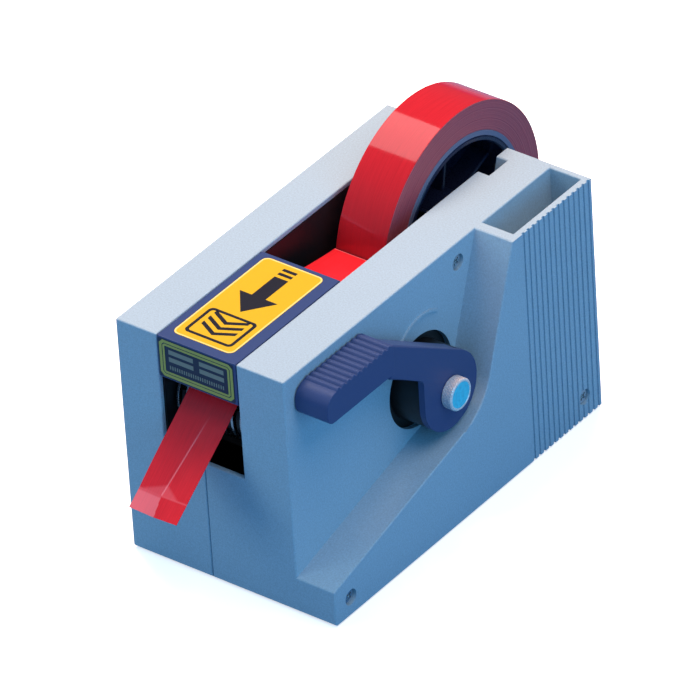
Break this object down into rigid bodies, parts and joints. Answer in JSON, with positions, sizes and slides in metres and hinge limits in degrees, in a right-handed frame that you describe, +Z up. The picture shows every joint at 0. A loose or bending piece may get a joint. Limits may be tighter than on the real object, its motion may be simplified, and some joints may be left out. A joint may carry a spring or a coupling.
{
  "type": "tape dispenser",
  "caption": "Lever-operated bench tape dispenser with an open-top roll channel, hinged guard cover, feed rollers and an internal knife.",
  "frame": {"origin": "centre of the whole outline, at the level of the surface it stands on", "axes": "+Z up; -Y is the front, where the tape comes out; +X is the lever side"},
  "size_m": [0.1034, 0.2468, 0.1374],
  "materials": {
    "casing_plastic": "satin moulded plastic, light grey-blue",
    "navy_plastic": "satin moulded plastic, navy",
    "black_plastic": "matte moulded plastic, black",
    "dark_steel": "black-coated steel sheet",
    "steel": "bright machined steel",
    "spring_steel": "drawn spring wire",
    "zinc": "polished plated steel",
    "bronze": "sintered bronze",
    "gear_nylon": "natural nylon",
    "cast_weight": "raw cast iron",
    "rubber": "soft rubber",
    "roller_rubber": "ground rubber",
    "label_yellow": "printed film, yellow",
    "label_dark": "printed film, dark with pale rules",
    "tape_film": "glossy red film",
    "tape_side": "glossy red film with wound edges",
    "core_board": "pale blue-grey core"
  },
  "bodies": {
    "casing": {"left_casing": "casing_plastic", "right_casing": "casing_plastic", "bottom_plate": "dark_steel", "base_weight": "cast_weight", "rubber_feet": "rubber", "bottom_screws": "zinc", "casing_screws": "zinc", "left_side_plate": "dark_steel", "right_side_plate": "dark_steel", "frame_spacers": "steel", "shaft_bushes": "bronze", "feed_bushes": "bronze", "idler_pin": "steel", "rocker_pin": "steel", "guide_roller_pin": "steel", "pressure_pivot": "steel", "stripper_comb": "black_plastic", "knife_bracket": "dark_steel", "knife_guide_rods": "steel", "cover_hinge_pin": "steel", "tape_strip": "tape_film", "lever_return_spring": "spring_steel", "rocker_spring": "spring_steel", "pressure_springs": "spring_steel"},
    "cover": {"guard_cover": "navy_plastic", "top_label": "label_yellow", "front_label": "label_dark"},
    "lever_unit": {"lever": "navy_plastic", "lever_drum": "black_plastic", "lever_shaft": "steel", "lever_gear": "steel", "knife_cam": "steel"},
    "clamp": {"clamp_screw": "zinc"},
    "idler": {"idler_gear": "gear_nylon"},
    "feed_roller": {"feed_shaft": "steel", "feed_sleeve": "steel", "feed_discs": "steel", "feed_pinion": "gear_nylon"},
    "guide": {"guide_roller": "gear_nylon"},
    "press_arm": {"pressure_arm": "steel", "pressure_axle": "steel"},
    "press_roller": {"pressure_roller": "roller_rubber"},
    "rocker": {"knife_rocker": "dark_steel"},
    "follower": {"cam_follower": "steel"},
    "knife": {"knife_carriage": "dark_steel", "knife_blade": "steel"},
    "axle": {"roll_axle": "steel", "axle_collars": "black_plastic"},
    "roll": {"roll_hub": "navy_plastic", "tape_core": "core_board", "tape_roll": "tape_side"}
  },
  "joints": [
    {"name": "lever_press", "type": "hinge", "parent": "casing", "child": "lever_unit", "pos_m": [0.0383, -0.00224, 0.0622], "axis": [1, 0, 0], "range_deg": [0, 45], "stiffness_Nm_per_rad": 0.3, "springref_deg": -17.19},
    {"name": "clamp_screw_turn", "type": "hinge", "parent": "lever_unit", "child": "clamp", "pos_m": [0.0483, -0.00224, 0.0622], "axis": [1, 0, 0], "continuous": true},
    {"name": "idler_turn", "type": "hinge", "parent": "casing", "child": "idler", "pos_m": [0.0153, -0.04504, 0.06633], "axis": [1, 0, 0], "range_deg": [-104.5, 0]},
    {"name": "feed_turn", "type": "hinge", "parent": "casing", "child": "feed_roller", "pos_m": [-0.0115, -0.06504, 0.0755], "axis": [1, 0, 0], "range_deg": [0, 150.5]},
    {"name": "guide_turn", "type": "hinge", "parent": "casing", "child": "guide", "pos_m": [-0.0115, -0.02904, 0.094], "axis": [1, 0, 0], "continuous": true},
    {"name": "pressure_lift", "type": "hinge", "parent": "casing", "child": "press_arm", "pos_m": [-0.0115, -0.05104, 0.102], "axis": [-1, 0, 0], "range_deg": [0, 8], "stiffness_Nm_per_rad": 0.4, "springref_deg": -17.19},
    {"name": "pressure_turn", "type": "hinge", "parent": "press_arm", "child": "press_roller", "pos_m": [-0.0115, -0.0727, 0.09655], "axis": [1, 0, 0], "continuous": true},
    {"name": "rocker_swing", "type": "hinge", "parent": "casing", "child": "rocker", "pos_m": [0.0253, -0.04404, 0.097], "axis": [1, 0, 0], "range_deg": [0, 10.03]},
    {"name": "follower_roll", "type": "hinge", "parent": "rocker", "child": "follower", "pos_m": [0.0223, -0.01332, 0.09265], "axis": [1, 0, 0], "continuous": true},
    {"name": "knife_drop", "type": "slide", "parent": "casing", "child": "knife", "axis": [0, 0, -1], "range_m": [0, 0.00655]},
    {"name": "roll_lift", "type": "slide", "parent": "casing", "child": "axle", "axis": [0, 0.2924, 0.9563], "range_m": [0, 0.06]},
    {"name": "roll_spin", "type": "hinge", "parent": "axle", "child": "roll", "pos_m": [-0.0115, 0.06996, 0.084], "axis": [1, 0, 0], "continuous": true},
    {"name": "cover_open", "type": "hinge", "parent": "casing", "child": "cover", "pos_m": [-0.0115, -0.02354, 0.107], "axis": [-1, 0, 0], "range_deg": [0, 95]}
  ],
  "couplings": [
    {"joint": "idler_turn", "follows": "lever_press", "ratio": -2.3077},
    {"joint": "feed_turn", "follows": "lever_press", "ratio": 3.3333},
    {"joint": "rocker_swing", "follows": "lever_press", "ratio": 0.22182},
    {"joint": "knife_drop", "follows": "lever_press", "m_per_rad": 0.0082761}
  ]
}
